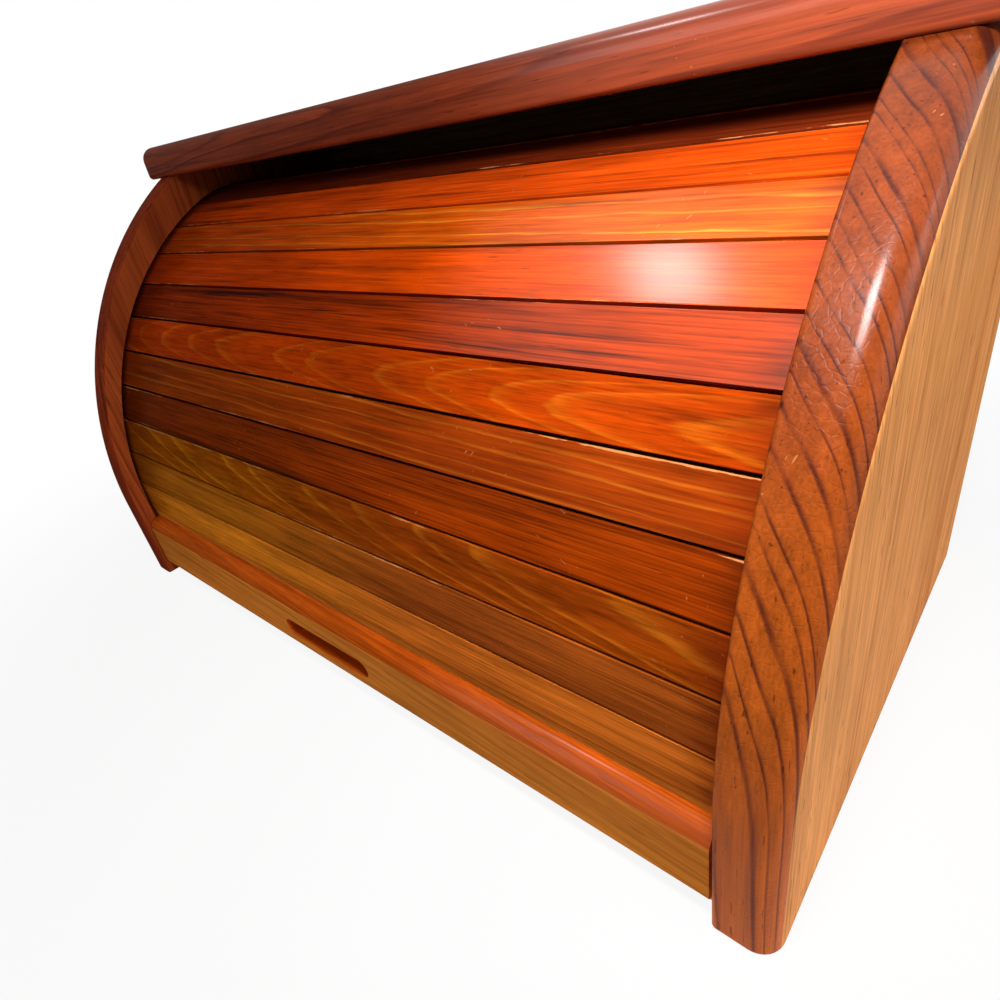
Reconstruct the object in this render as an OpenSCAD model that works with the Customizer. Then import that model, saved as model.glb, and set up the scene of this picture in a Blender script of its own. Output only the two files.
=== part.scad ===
// Wooden box with a roll-up slatted front. Millimetres, +Z up.
// The origin is on the table, under the middle of the box; the front faces -Y.

/* [Case] */
// Width over the two side panels
case_w = 400; // [340:1:460]
// Depth of the side panels, front to back
case_d = 216; // [212:1:222]
// Height of the side panels, up to the underside of the top board
case_h = 215; // [212:1:222]
// Thickness of the side panels
side_t = 19; // [18:0.5:22]
// Radius of the round front edge of the side panels
side_arc_r = 193.5; // [190:0.5:196]
// Height at which the straight foot turns into the round front edge
side_arc_z = 48; // [44:1:52]
// Roundover along the outer front corner of a side panel
side_round = 8; // [4:0.5:9]
// Roundover along the inner front corner of a side panel
side_inner_round = 1.5; // [1:0.5:3]

/* [Top board] */
// Thickness of the top board
top_t = 16; // [15:0.5:20]
// How far the top board stands out past each side panel
top_overhang = 12; // [6:1:16]
// How far the front edge of the top board lies behind the foot of the sides
top_setback = 95.5; // [92:0.5:100]
// Roundover along the upper edges of the top board
top_round = 7; // [3:0.5:8]
// Roundover along its lower edges
top_under_round = 2; // [1:0.5:3]
// Radius of its two front corners, seen from above
top_corner = 8; // [7:0.5:12]

/* [Floor and back] */
// Thickness of the floor board
floor_t = 6; // [5:0.5:8]
// Height of the floor board's top face above the table
floor_z = 8; // [8:0.5:8]
// Thickness of the back panel
back_t = 6; // [4:0.5:6]

/* [Curtain] */
// Radius of the curtain's outer face over the round front
roll_r = 162.5; // [161:0.5:163]
// How far the curtain's face lies behind the front of the sides
roll_setback = 9.5; // [9:0.5:11]
// Height of the centre that the curtain rolls about
roll_z = 50; // [49:0.5:51]
// Radius of the curtain's outer face where it turns down behind
rear_r = 70; // [68:1:74]
// Thickness of a slat
slat_t = 6; // [5:0.25:6]
// Spacing of the slats, measured along the canvas
slat_pitch = 18.78; // [18:0.01:19]
// Gap between slats, measured along the canvas
slat_gap = 0.38; // [0.3:0.01:0.6]
// Rounding of the two outer edges of a slat
slat_round = 1; // [0.5:0.1:1.5]
// Thickness of the canvas
canvas_t = 0.8; // [0.5:0.1:1]
// Depth of the groove in each side panel
groove_depth = 7; // [5:0.5:7]
// Play between a slat and each wall of its groove
groove_play = 1.2; // [1:0.1:1.4]

/* [Lift rail] */
// How far the rail's face lies behind the front of the sides
rail_setback = 2.5; // [1:0.5:4]
// Height of the flat face of the rail above its lower edge
rail_face_h = 23.7; // [20:0.1:24]
// Length of the finger slot
slot_w = 62.5; // [40:0.5:80]
// Height of the finger slot
slot_h = 10.2; // [9:0.2:12]
// How far the slot lies to the right of the middle
slot_x = -6.8; // [-10:0.1:10]
// Depth of the finger slot
slot_depth = 6; // [4:0.5:8]
// Height of the slot's centre line above the table
slot_z = 19.3; // [18:0.1:21]

/* [Hidden] */
$fn = 180;

inner_x = case_w / 2 - side_t;          // inner face of a side panel
front_y = -case_d / 2;                  // front plane of the sides
rear_y = case_d / 2;
case_arc_c = [front_y + side_arc_r, side_arc_z];
back_y = rear_y - back_t;               // inner face of the back panel
back_rebate = 13;                       // how far the back laps onto a side
housing = 6;                            // depth of the floor's housing
floor_front_y = front_y + 6;

// The curtain's path, as points [y, z] of its canvas line: up the straight
// foot, over the round front, round the rear turn and down behind.
roll_c = [front_y + roll_setback + roll_r, roll_z];
rear_face_y = back_y - 4;               // outer face of the stowed curtain
turn = acos((rear_r - (rear_face_y - roll_c[0])) / (roll_r - rear_r));
rear_c = roll_c + (roll_r - rear_r) * [-cos(turn), sin(turn)];
belt_r = roll_r - slat_t;               // canvas line over the front
belt_rear_r = rear_r - slat_t;          // canvas line round the turn
front_run = belt_r * turn * PI / 180;
rear_run = belt_rear_r * (180 - turn) * PI / 180;
first_slat_s = -6.8;                    // lower edge of the lowest slat
slat_len = 2 * (inner_x + groove_depth - 1);
canvas_len = 2 * (inner_x - 5);
groove_start_z = 24;

rail_z0 = floor_z + 0.3;
rail_z1 = rail_z0 + rail_face_h;        // top of the flat face
rail_top = roll_z + first_slat_s - 0.4;
rail_len = 2 * (inner_x - 1.5);
face_y = front_y + roll_setback;        // curtain face at the foot

dowel_d = 8;
dowel_in = 10;                          // depth in each of the two boards
dowel_x = case_w / 2 - side_t / 2;
dowel_ys = [10, 49, 88];                // front to back

screw_d = 3;
screw_head_d = 6;
screw_head_t = 1.8;
screw_grip = 10;                        // length held in the side panel
screw_x = inner_x + 10;
screw_zs = [24, 76, 130, 184];

pine = [0.72, 0.36, 0.12];
dark_pine = [0.50, 0.20, 0.08];
pale_pine = [0.86, 0.60, 0.32];

// A point of the canvas line, at distance s along it
function belt(s) =
    s < 0 ? [roll_c[0] - belt_r, roll_c[1] + s] :
    s < front_run ?
        roll_c + belt_r * [-cos(deg(s / belt_r)), sin(deg(s / belt_r))] :
    s < front_run + rear_run ?
        let (a = turn + deg((s - front_run) / belt_rear_r))
        rear_c + belt_rear_r * [-cos(a), sin(a)] :
    [rear_c[0] + belt_rear_r, rear_c[1] - (s - front_run - rear_run)];
function deg(a) = a * 180 / PI;

// An outline drawn in (y, z), drawn out along X about the middle
module along_x(len) {
    rotate([90, 0, 90]) linear_extrude(len, center = true) children();
}

// What a roundover removes at a corner at the origin, with the wood on the
// side of negative x and y
module corner_waste(r) {
    translate([-r, -r]) difference() {
        square(r + 2);
        circle(r);
    }
}

// The sector of a ring between two angles, less than half a turn apart
module ring_sector(r0, r1, a0, a1) {
    far = 2 * r1;
    intersection() {
        difference() {
            circle(r1);
            circle(r0);
        }
        polygon(concat([[0, 0]], [for (i = [0:3])
            far * [cos(a0 + (a1 - a0) * i / 3), sin(a0 + (a1 - a0) * i / 3)]]));
    }
}

// Side panels --------------------------------------------------------------

module groove_outline() {
    r0 = belt_r - groove_play;
    r1 = roll_r + groove_play;
    q0 = belt_rear_r - groove_play;
    q1 = rear_r + groove_play;
    translate([roll_c[0] - r1, groove_start_z])
        square([r1 - r0, roll_z - groove_start_z]);
    translate(roll_c) ring_sector(r0, r1, 180 - turn, 180);
    translate(rear_c) ring_sector(q0, q1, 0, 180 - turn);
    translate([rear_c[0] + q0, floor_z - 1])
        square([q1 - q0, rear_c[1] - floor_z + 1]);
}

// The panel's thickness in plan, with its two front corners rounded; the
// front edge is at x = len and the thickness lies along y
module edge_plan(len) {
    x1 = case_w / 2;
    difference() {
        translate([0, inner_x]) square([len, side_t]);
        translate([len, x1]) corner_waste(side_round);
        translate([len, inner_x]) mirror([0, 1]) corner_waste(side_inner_round);
    }
}

// The panel before it is routed: a straight foot, a front edge swept about
// the centre of the arc, and the square rest behind it
module side_blank() {
    translate([0, rear_y, 0]) rotate(-90)
        linear_extrude(side_arc_z) edge_plan(case_d);
    intersection() {
        translate([0, case_arc_c[0], case_arc_c[1]])
            rotate([0, 90, 0]) rotate([0, 0, 180])
                rotate_extrude(angle = 90) edge_plan(side_arc_r);
        translate([inner_x - 1, front_y - 1, side_arc_z])
            cube([side_t + 2, side_arc_r + 1, case_h - side_arc_z]);
    }
    translate([inner_x, case_arc_c[0], side_arc_z])
        cube([side_t, rear_y - case_arc_c[0], case_h - side_arc_z]);
}

module side_panel() {
    difference() {
        side_blank();
        // groove for the curtain
        translate([inner_x + groove_depth / 2 - 1, 0, 0])
            along_x(groove_depth + 2) groove_outline();
        // housing for the floor
        translate([inner_x - 1, floor_front_y, floor_z - floor_t])
            cube([housing + 1, back_y - floor_front_y, floor_t]);
        // rebate for the back
        translate([inner_x - 1, back_y, -1])
            cube([back_rebate + 1, back_t + 1, case_h + 2]);
        for (y = dowel_ys)
            translate([dowel_x, y, case_h - dowel_in])
                cylinder(d = dowel_d, h = dowel_in + 1);
        for (z = screw_zs)
            translate([screw_x, back_y + 0.5, z]) rotate([90, 0, 0])
                cylinder(d = screw_d, h = screw_grip + 0.5);
    }
}

module side_panel_right() {
    color(pale_pine) side_panel();
}

module side_panel_left() {
    color(pine) mirror([1, 0, 0]) side_panel();
}

// Fixed boards ---------------------------------------------------------------

// The top board in section, out to its rounded edge at x = len
module board_section(len) {
    difference() {
        square([len, top_t]);
        translate([len, top_t]) corner_waste(top_round);
        translate([len, 0]) mirror([0, 1]) corner_waste(top_under_round);
    }
}

module top_board() {
    x = case_w / 2 + top_overhang - top_corner;
    y0 = front_y + top_setback;
    color(dark_pine) difference() {
        union() {
            along_x(2 * x) translate([rear_y, case_h]) mirror([1, 0])
                board_section(rear_y - y0);
            // the edge goes on round the front corners and along both ends
            for (side = [0, 1]) mirror([side, 0, 0]) {
                translate([x, y0 + top_corner, case_h]) rotate([0, 0, -90])
                    rotate_extrude(angle = 90) board_section(top_corner);
                translate([x, rear_y, case_h]) rotate([90, 0, 0])
                    linear_extrude(rear_y - y0 - top_corner)
                        board_section(top_corner);
            }
        }
        for (side = [-1, 1], y = dowel_ys)
            translate([side * dowel_x, y, case_h - 1])
                cylinder(d = dowel_d, h = dowel_in + 1);
    }
}

module bottom_board() {
    color(pale_pine)
        translate([-inner_x - housing, floor_front_y, floor_z - floor_t])
            cube([2 * (inner_x + housing), back_y - floor_front_y, floor_t]);
}

module back_panel() {
    half = inner_x + back_rebate;
    color(pale_pine) difference() {
        translate([-half, back_y, 0]) cube([2 * half, back_t, case_h]);
        for (side = [-1, 1], z = screw_zs)
            translate([side * screw_x, rear_y, z]) rotate([90, 0, 0]) {
                translate([0, 0, -1]) cylinder(d = screw_d, h = back_t + 2);
                cylinder(d1 = screw_head_d, d2 = screw_d, h = screw_head_t);
            }
    }
}

module top_dowels() {
    color(pale_pine) for (side = [-1, 1], y = dowel_ys)
        translate([side * dowel_x, y, case_h - dowel_in])
            cylinder(d = dowel_d, h = 2 * dowel_in);
}

module back_screws() {
    color("silver") for (side = [-1, 1], z = screw_zs)
        translate([side * screw_x, rear_y, z]) rotate([90, 0, 0]) {
            cylinder(d1 = screw_head_d, d2 = screw_d, h = screw_head_t);
            cylinder(d = screw_d, h = back_t + screw_grip);
        }
}

// Curtain --------------------------------------------------------------------

module rail_outline() {
    y0 = front_y + rail_setback;
    y1 = face_y + slat_t;
    shoulder = face_y - y0;
    difference() {
        union() {
            translate([y0, rail_z0]) square([y1 - y0, rail_face_h]);
            translate([face_y, rail_z1]) intersection() {
                circle(shoulder);
                translate([-shoulder, 0]) square(shoulder);
            }
            // the upper edge, set back a little where the slats begin
            translate([face_y, rail_z1]) square([slat_t, shoulder]);
            translate([face_y + 0.8, rail_z1])
                square([slat_t - 0.8, rail_top - rail_z1]);
        }
        translate([y0, rail_z0]) mirror([1, 0]) mirror([0, 1])
            corner_waste(1.5);
    }
}

module lift_rail() {
    tongue_x = inner_x + groove_depth - 1;
    color(pine) difference() {
        union() {
            along_x(rail_len) rail_outline();
            // end tongues that ride in the grooves
            translate([-tongue_x, face_y + 0.5, rail_top - 9])
                cube([2 * tongue_x, slat_t - 1, 9]);
        }
        // finger slot with round ends
        translate([slot_x, front_y + rail_setback + slot_depth, slot_z])
            rotate([90, 0, 0]) linear_extrude(slot_depth + 2) {
                square([slot_w - slot_h, slot_h], center = true);
                for (side = [-1, 1])
                    translate([side * (slot_w - slot_h) / 2, 0])
                        circle(d = slot_h);
            }
    }
}

// Places children on the canvas line at slat i, with +Y along the curtain and
// +Z out of its face
module at_slat(i) {
    a = belt(first_slat_s + i * slat_pitch);
    b = belt(first_slat_s + (i + 1) * slat_pitch);
    translate([0, (a[0] + b[0]) / 2, (a[1] + b[1]) / 2])
        rotate([atan2(b[1] - a[1], b[0] - a[0]), 0, 0]) children();
}

module slat(i) {
    w = slat_pitch - slat_gap;
    color(i % 3 == 0 ? pine : i % 3 == 1 ? pale_pine : dark_pine)
        at_slat(i) along_x(slat_len) difference() {
            translate([-w / 2, 0]) square([w, slat_t]);
            for (side = [0, 1]) mirror([side, 0])
                translate([w / 2, slat_t]) corner_waste(slat_round);
        }
}

module canvas(i) {
    w = slat_pitch - slat_gap;
    color("beige") at_slat(i)
        translate([0, 0, -canvas_t / 2])
            cube([canvas_len, w, canvas_t], center = true);
}

module slat_01() { slat(0); }
module slat_02() { slat(1); }
module slat_03() { slat(2); }
module slat_04() { slat(3); }
module slat_05() { slat(4); }
module slat_06() { slat(5); }
module slat_07() { slat(6); }
module slat_08() { slat(7); }
module slat_09() { slat(8); }
module slat_10() { slat(9); }
module slat_11() { slat(10); }
module slat_12() { slat(11); }
module slat_13() { slat(12); }
module slat_14() { slat(13); }
module canvas_01() { canvas(0); }
module canvas_02() { canvas(1); }
module canvas_03() { canvas(2); }
module canvas_04() { canvas(3); }
module canvas_05() { canvas(4); }
module canvas_06() { canvas(5); }
module canvas_07() { canvas(6); }
module canvas_08() { canvas(7); }
module canvas_09() { canvas(8); }
module canvas_10() { canvas(9); }
module canvas_11() { canvas(10); }
module canvas_12() { canvas(11); }
module canvas_13() { canvas(12); }
module canvas_14() { canvas(13); }

side_panel_left();
side_panel_right();
top_board();
bottom_board();
back_panel();
lift_rail();
slat_01();
slat_02();
slat_03();
slat_04();
slat_05();
slat_06();
slat_07();
slat_08();
slat_09();
slat_10();
slat_11();
slat_12();
slat_13();
slat_14();
canvas_01();
canvas_02();
canvas_03();
canvas_04();
canvas_05();
canvas_06();
canvas_07();
canvas_08();
canvas_09();
canvas_10();
canvas_11();
canvas_12();
canvas_13();
canvas_14();
top_dowels();
back_screws();
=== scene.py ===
"""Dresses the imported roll-front wooden box: worn, stained pine over the CAD frame.

Every length is in metres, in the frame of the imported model: +Z up, front
towards -Y, and the origin on the table under the middle of the box.
"""

import logging
import math
from contextlib import contextmanager
from dataclasses import dataclass, field, replace
from enum import Enum
from typing import Callable, Iterator, Sequence

import bmesh
import bpy
from mathutils import Euler, Matrix, Vector


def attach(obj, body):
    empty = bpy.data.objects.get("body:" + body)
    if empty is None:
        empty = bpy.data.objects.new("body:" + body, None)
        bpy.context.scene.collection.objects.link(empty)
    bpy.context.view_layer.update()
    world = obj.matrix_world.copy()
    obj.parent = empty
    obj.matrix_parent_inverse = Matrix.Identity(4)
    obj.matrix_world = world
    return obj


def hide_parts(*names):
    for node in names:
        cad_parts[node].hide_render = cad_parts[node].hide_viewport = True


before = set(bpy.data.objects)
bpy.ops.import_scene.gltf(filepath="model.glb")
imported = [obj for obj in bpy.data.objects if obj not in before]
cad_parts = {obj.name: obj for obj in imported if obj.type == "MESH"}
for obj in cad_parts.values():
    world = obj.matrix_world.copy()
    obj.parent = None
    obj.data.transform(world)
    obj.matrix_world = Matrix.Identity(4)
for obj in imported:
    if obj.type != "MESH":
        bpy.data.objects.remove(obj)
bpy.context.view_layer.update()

log = logging.getLogger("roll_front_box")

MM = 0.001
Point = tuple[float, float, float]
Colour = tuple[int, int, int]
Test = Callable[[Vector], bool]
Piece = bpy.types.Object
Socket = bpy.types.NodeSocket
Stuff = bpy.types.Material

# Where the dowels (front to back) and the screws (upwards, across) are, in millimetres.
DOWEL_ROWS = (10, 49, 88)
SCREW_LEVELS = (24, 76, 130, 184)
SCREW_AT = 191
# The floor's and the back panel's planes, and how far both are let into the sides.
FLOOR_LOW, FLOOR_TOP, HOUSING = 2, 8, 6
BACK_FRONT, REBATE = 102, 13
# The turn that sends a pin's length from +Z to the front of the box.
TO_FRONT = (90, 0, 0)
VARNISH_IOR = 1.45
# The inputs of a shared shader effect that are vectors; the others are numbers.
VECTORS = ("Place", "Log", "Half")


def runs_across(way: Vector) -> bool:
    """Tells whether an edge's direction is the box's width."""
    return abs(way.x) > 0.9


# --- Modelling by hand ------------------------------------------------------


def deselect() -> None:
    """Leaves nothing selected, and no object in edit mode."""
    if bpy.context.object is not None and bpy.context.object.mode != "OBJECT":
        bpy.ops.object.mode_set(mode="OBJECT")
    bpy.ops.object.select_all(action="DESELECT")


def only(obj: Piece) -> Piece:
    """Makes one object the selected and active one.

    Args:
        obj: The object to work on.

    Returns:
        The same object.
    """
    deselect()
    obj.select_set(True)
    bpy.context.view_layer.objects.active = obj
    return obj


def settled(name: str | None = None) -> Piece:
    """Puts the active piece's place and turn into its mesh.

    Args:
        name: A new name for the piece, if any.

    Returns:
        The piece.
    """
    obj = bpy.context.object
    if name:
        obj.name = obj.data.name = name
    bpy.ops.object.transform_apply()
    return obj


def box(name: str, low: Point, high: Point) -> Piece:
    """Adds a block between two opposite corners, as the blank of a piece.

    Args:
        name: The name of the object.
        low: One corner, in millimetres.
        high: The corner opposite.

    Returns:
        The new object, with its place in its mesh.
    """
    deselect()
    middle = [(a + b) / 2 * MM for a, b in zip(low, high)]
    size = [abs(b - a) * MM for a, b in zip(low, high)]
    bpy.ops.mesh.primitive_cube_add(size=1, location=middle, scale=size)
    return settled(name)


def rod(
    name: str,
    start: Point,
    radius: float,
    length: float,
    far_radius: float | None = None,
    sides: int = 32,
    turn: Point = (0, 0, 0),
) -> Piece:
    """Adds a round or tapered pin, which starts at a point and runs along +Z.

    Args:
        name: The name of the object.
        start: The middle of its first end, in millimetres.
        radius: The radius at the first end, in millimetres.
        length: Its length, in millimetres.
        far_radius: The radius at the far end, the same as the first when left out.
        sides: The number of facets round it.
        turn: The turn about X, Y and Z, in degrees, that it then gets.

    Returns:
        The new object, with its place in its mesh.
    """
    deselect()
    spin = Euler([math.radians(a) for a in turn])
    middle = Vector(start) + spin.to_matrix() @ Vector((0, 0, length / 2))
    bpy.ops.mesh.primitive_cone_add(
        vertices=sides,
        radius1=radius * MM,
        radius2=(radius if far_radius is None else far_radius) * MM,
        depth=length * MM,
        location=middle * MM,
        rotation=spin,
    )
    return settled(name)


@contextmanager
def editing(obj: Piece, mode: str = "VERT") -> Iterator[bmesh.types.BMesh]:
    """Opens a piece in edit mode with nothing selected.

    Args:
        obj: The piece.
        mode: The selection mode, VERT, EDGE or FACE.

    Yields:
        The piece's edit mesh.
    """
    only(obj)
    bpy.ops.object.mode_set(mode="EDIT")
    bpy.ops.mesh.select_mode(type=mode)
    bpy.ops.mesh.select_all(action="DESELECT")
    mesh = bmesh.from_edit_mesh(obj.data)
    for table in (mesh.verts, mesh.edges, mesh.faces):
        table.ensure_lookup_table()
    yield mesh
    bpy.ops.object.mode_set(mode="OBJECT")


def pick_edges(
    mesh: bmesh.types.BMesh,
    test: Test,
    along: Test | None = None,
    midway: Test | None = None,
) -> int:
    """Selects the edges whose two ends both pass a test.

    Args:
        mesh: The edit mesh.
        test: Tells, for a point in millimetres, whether it belongs.
        along: Tells, for the edge's unit direction, whether the edge belongs.
        midway: Tells, for the edge's middle, whether the edge belongs.

    Returns:
        How many edges were picked.
    """
    count = 0
    for edge in mesh.edges:
        a, b = (v.co / MM for v in edge.verts)
        line = (b - a).normalized() if (b - a).length > 1e-9 else Vector((0, 0, 1))
        fits = (along is None or along(line)) and (
            midway is None or midway((a + b) / 2)
        )
        if fits and test(a) and test(b):
            edge.select = True
            count += 1
    mesh.select_flush_mode()
    return count


def round_edges(
    obj: Piece,
    test: Test,
    radius: float,
    steps: int = 3,
    along: Test | None = None,
    midway: Test | None = None,
) -> None:
    """Rounds the picked edges of a piece.

    Args:
        obj: The piece.
        test: Picks an edge by its end points, in millimetres.
        radius: The radius, in millimetres.
        steps: The number of facets round the edge.
        along: Picks an edge by its direction.
        midway: Picks an edge by its middle.
    """
    with editing(obj, "EDGE") as mesh:
        if pick_edges(mesh, test, along, midway):
            bpy.ops.mesh.bevel(
                offset=radius * MM, segments=steps, profile=0.5, clamp_overlap=False
            )


def combine(obj: Piece, other: Piece, how: str) -> None:
    """Applies a Boolean to a piece.

    Args:
        obj: The piece.
        other: The other shape, which is used up.
        how: DIFFERENCE or UNION.
    """
    only(obj)
    bpy.ops.object.modifier_add(type="BOOLEAN")
    step = obj.modifiers[-1]
    step.operation = how
    step.solver = "EXACT"
    step.object = other
    bpy.ops.object.modifier_apply(modifier=step.name)
    bpy.data.objects.remove(other)


def cut(obj: Piece, cutter: Piece) -> None:
    """Cuts one shape out of a piece, and uses the cutter up."""
    combine(obj, cutter, "DIFFERENCE")


def fuse(obj: Piece, other: Piece) -> None:
    """Grows a piece by another shape, as one closed skin, and uses the shape up."""
    combine(obj, other, "UNION")


def join(parts: Sequence[Piece]) -> Piece:
    """Joins loose shapes.

    Args:
        parts: The shapes.

    Returns:
        The first shape, which now holds them all.
    """
    deselect()
    for part in parts:
        part.select_set(True)
    bpy.context.view_layer.objects.active = parts[0]
    bpy.ops.object.join()
    return parts[0]


def weld(near: float) -> None:
    """Closes the skin of the piece in edit mode and points its faces outwards.

    Args:
        near: The distance within which points are one, in metres.
    """
    bpy.ops.mesh.select_all(action="SELECT")
    bpy.ops.mesh.remove_doubles(threshold=near)
    bpy.ops.mesh.normals_make_consistent(inside=False)


def clean(obj: Piece, angle: float = 32.0) -> Piece:
    """Merges doubles, points the faces outwards and shades the rounded edges smooth.

    Args:
        obj: The piece.
        angle: The steepest turn between faces that is shaded smooth, in degrees.

    Returns:
        The same piece.
    """
    with editing(obj):
        weld(0.000002)
    only(obj)
    bpy.ops.object.shade_smooth_by_angle(angle=math.radians(angle))
    bpy.ops.object.modifier_add(type="WEIGHTED_NORMAL")
    step = obj.modifiers[-1]
    step.keep_sharp = True
    bpy.ops.object.modifier_apply(modifier=step.name)
    return obj


def place(obj: Piece, spot: "Spot") -> Piece:
    """Moves a piece made about the origin to its spot, and puts the move in its mesh.

    Args:
        obj: The piece.
        spot: Where it goes.

    Returns:
        The same piece.
    """
    only(obj)
    obj.location = Vector(spot.middle) * MM
    obj.rotation_euler = (math.radians(spot.slope), 0, 0)
    settled()
    return obj


def twin(obj: Piece, name: str) -> Piece:
    """Copies a piece, with a mesh of its own.

    Args:
        obj: The piece.
        name: The copy's name.

    Returns:
        The copy.
    """
    only(obj)
    bpy.ops.object.duplicate()
    new = bpy.context.object
    new.name = new.data.name = name
    return new


# --- Node building ----------------------------------------------------------


def linear(colour: Colour) -> tuple[float, float, float, float]:
    """Turns a colour into the linear one that a shader takes.

    Args:
        colour: The 8-bit sRGB colour.

    Returns:
        Its linear parts and a full alpha.
    """
    part = [c / 255 for c in colour]
    return tuple(
        [c / 12.92 if c <= 0.04045 else ((c + 0.055) / 1.055) ** 2.4 for c in part]
        + [1.0]
    )


@dataclass
class Net:
    """A node tree under construction, with short ways to add and wire its nodes."""

    tree: bpy.types.NodeTree

    def node(self, kind: str, **facts: object) -> bpy.types.Node:
        """Adds a node.

        Args:
            kind: Its type.
            facts: The properties to set on it.

        Returns:
            The node.
        """
        new = self.tree.nodes.new(kind)
        for key, value in facts.items():
            setattr(new, key, value)
        return new

    def feed(self, socket: Socket, value: object) -> None:
        """Gives a socket what it takes.

        Args:
            socket: The socket.
            value: An output to wire to it, a value to set, or None to leave it.
        """
        if isinstance(value, Socket):
            self.tree.links.new(value, socket)
        elif value is not None:
            socket.default_value = value

    def fill(self, node: bpy.types.Node, *values: object) -> Socket:
        """Feeds a node's sockets in their order.

        Args:
            node: The node.
            values: What the sockets take, from the first on.

        Returns:
            The node's first output.
        """
        for socket, value in zip(node.inputs, values):
            self.feed(socket, value)
        return node.outputs[0]

    def give(self, node: bpy.types.Node, **values: object) -> None:
        """Feeds a node's sockets by name, with a low line for a space."""
        for key, value in values.items():
            self.feed(node.inputs[key.replace("_", " ")], value)

    def math(
        self, what: str, a: object, b: object = None, clamp: bool = False
    ) -> Socket:
        """Adds a Math node, whose result may be kept between 0 and 1."""
        new = self.node("ShaderNodeMath", operation=what, use_clamp=clamp)
        return self.fill(new, a, b)

    def add(self, a: object, b: object, clamp: bool = False) -> Socket:
        """Returns a + b."""
        return self.math("ADD", a, b, clamp=clamp)

    def less(self, a: object, b: object) -> Socket:
        """Returns a - b."""
        return self.math("SUBTRACT", a, b)

    def times(self, a: object, b: object, clamp: bool = False) -> Socket:
        """Returns a times b."""
        return self.math("MULTIPLY", a, b, clamp=clamp)

    def vector(self, what: str, a: object, b: object = None) -> Socket:
        """Adds a Vector Math node and returns its vector."""
        return self.fill(self.node("ShaderNodeVectorMath", operation=what), a, b)

    def noise(
        self,
        at: Socket,
        stretch: Point,
        detail: float = 2.0,
        rough: float = 0.5,
        warp: float = 0.0,
    ) -> Socket:
        """Adds stretched noise, from 0 to 1 about 0.5.

        Args:
            at: The place on the piece.
            stretch: Cells per metre along each axis.
            detail: The number of finer layers.
            rough: The strength of the finer layers.
            warp: How far the noise is bent by itself.

        Returns:
            The noise value.
        """
        new = self.node("ShaderNodeTexNoise")
        self.give(
            new,
            Vector=self.vector("MULTIPLY", at, stretch),
            Scale=1.0,
            Detail=detail,
            Roughness=rough,
            Distortion=warp,
        )
        return new.outputs["Fac"]

    def span(
        self,
        value: object,
        low: object,
        high: object,
        to_low: object = 0.0,
        to_high: object = 1.0,
        smooth: bool = True,
    ) -> Socket:
        """Maps a value from one span to another, held at both ends.

        Args:
            value: The value.
            low: The start of the span that it comes from.
            high: The end of that span.
            to_low: What the start becomes.
            to_high: What the end becomes.
            smooth: Eases the ends.

        Returns:
            The mapped value.
        """
        way = "SMOOTHSTEP" if smooth else "LINEAR"
        new = self.node("ShaderNodeMapRange", interpolation_type=way)
        return self.fill(new, value, low, high, to_low, to_high)

    def mix(self, amount: object, a: object, b: object, how: str = "MIX") -> Socket:
        """Mixes two colours.

        Args:
            amount: How much of the second colour is taken.
            a: The first colour.
            b: The second colour.
            how: The way of mixing.

        Returns:
            The mixed colour.
        """
        new = self.node("ShaderNodeMix", data_type="RGBA", blend_type=how)
        self.give(new, Factor=amount, A=a, B=b)
        return [s for s in new.outputs if s.type == "RGBA"][0]

    def curve(self, value: object, stops: Sequence[tuple[float, float]]) -> Socket:
        """Reads a value off a line drawn through stops.

        Args:
            value: The place along the line, from 0 to 1.
            stops: The place and height of each stop.

        Returns:
            The height there.
        """
        new = self.node("ShaderNodeValToRGB")
        elements = new.color_ramp.elements
        while len(elements) < len(stops):
            elements.new(0.5)
        for element, (at, height) in zip(elements, stops):
            element.position = at
            element.color = (height, height, height, 1)
        return self.fill(new, value)

    def split(self, vector: object) -> tuple[Socket, ...]:
        """Splits a vector.

        Args:
            vector: The vector.

        Returns:
            Its three values.
        """
        new = self.node("ShaderNodeSeparateXYZ")
        self.fill(new, vector)
        return tuple(new.outputs)

    def group(
        self, effect: "Effect", **values: object
    ) -> bpy.types.bpy_prop_collection:
        """Places a shared effect in this tree.

        Args:
            effect: Which effect it is.
            values: What its sockets take, by name.

        Returns:
            Its outputs.
        """
        new = self.node("ShaderNodeGroup", node_tree=bpy.data.node_groups[effect.value])
        self.give(new, **values)
        return new.outputs

    def mapped(self, at: object, move: Matrix) -> Socket:
        """Carries object coordinates into a piece's own axes.

        Args:
            at: The coordinates.
            move: A rigid move.

        Returns:
            The coordinates after the move.
        """
        new = self.node("ShaderNodeMapping", vector_type="POINT")
        here, turn = move.to_translation(), move.to_euler("XYZ")
        self.give(new, Vector=at, Location=here, Rotation=turn)
        return new.outputs[0]


class Effect(Enum):
    """The shader effects that several finishes share."""

    RINGS = "growth_rings"
    EDGES = "worn_edges"
    MARKS = "scratches"
    SKIN = "varnish_skin"
    WEAVE = "canvas_weave"


def new_effect(
    effect: Effect, takes: str, gives: str
) -> tuple[Net, list[Socket], bpy.types.Node]:
    """Starts the node group of a shared effect.

    Args:
        effect: Which effect it is.
        takes: The names of its inputs, with a space between two.
        gives: The names of its outputs.

    Returns:
        The net to build in, the sockets that bring its inputs, and its output node.
    """
    tree = bpy.data.node_groups.new(effect.value, "ShaderNodeTree")
    for way, names in (("INPUT", takes), ("OUTPUT", gives)):
        for name in names.split():
            kind = "NodeSocketVector" if name in VECTORS else "NodeSocketFloat"
            tree.interface.new_socket(name=name, in_out=way, socket_type=kind)
    net = Net(tree)
    start = net.node("NodeGroupInput")
    return net, start.outputs[: len(takes.split())], net.node("NodeGroupOutput")


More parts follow.
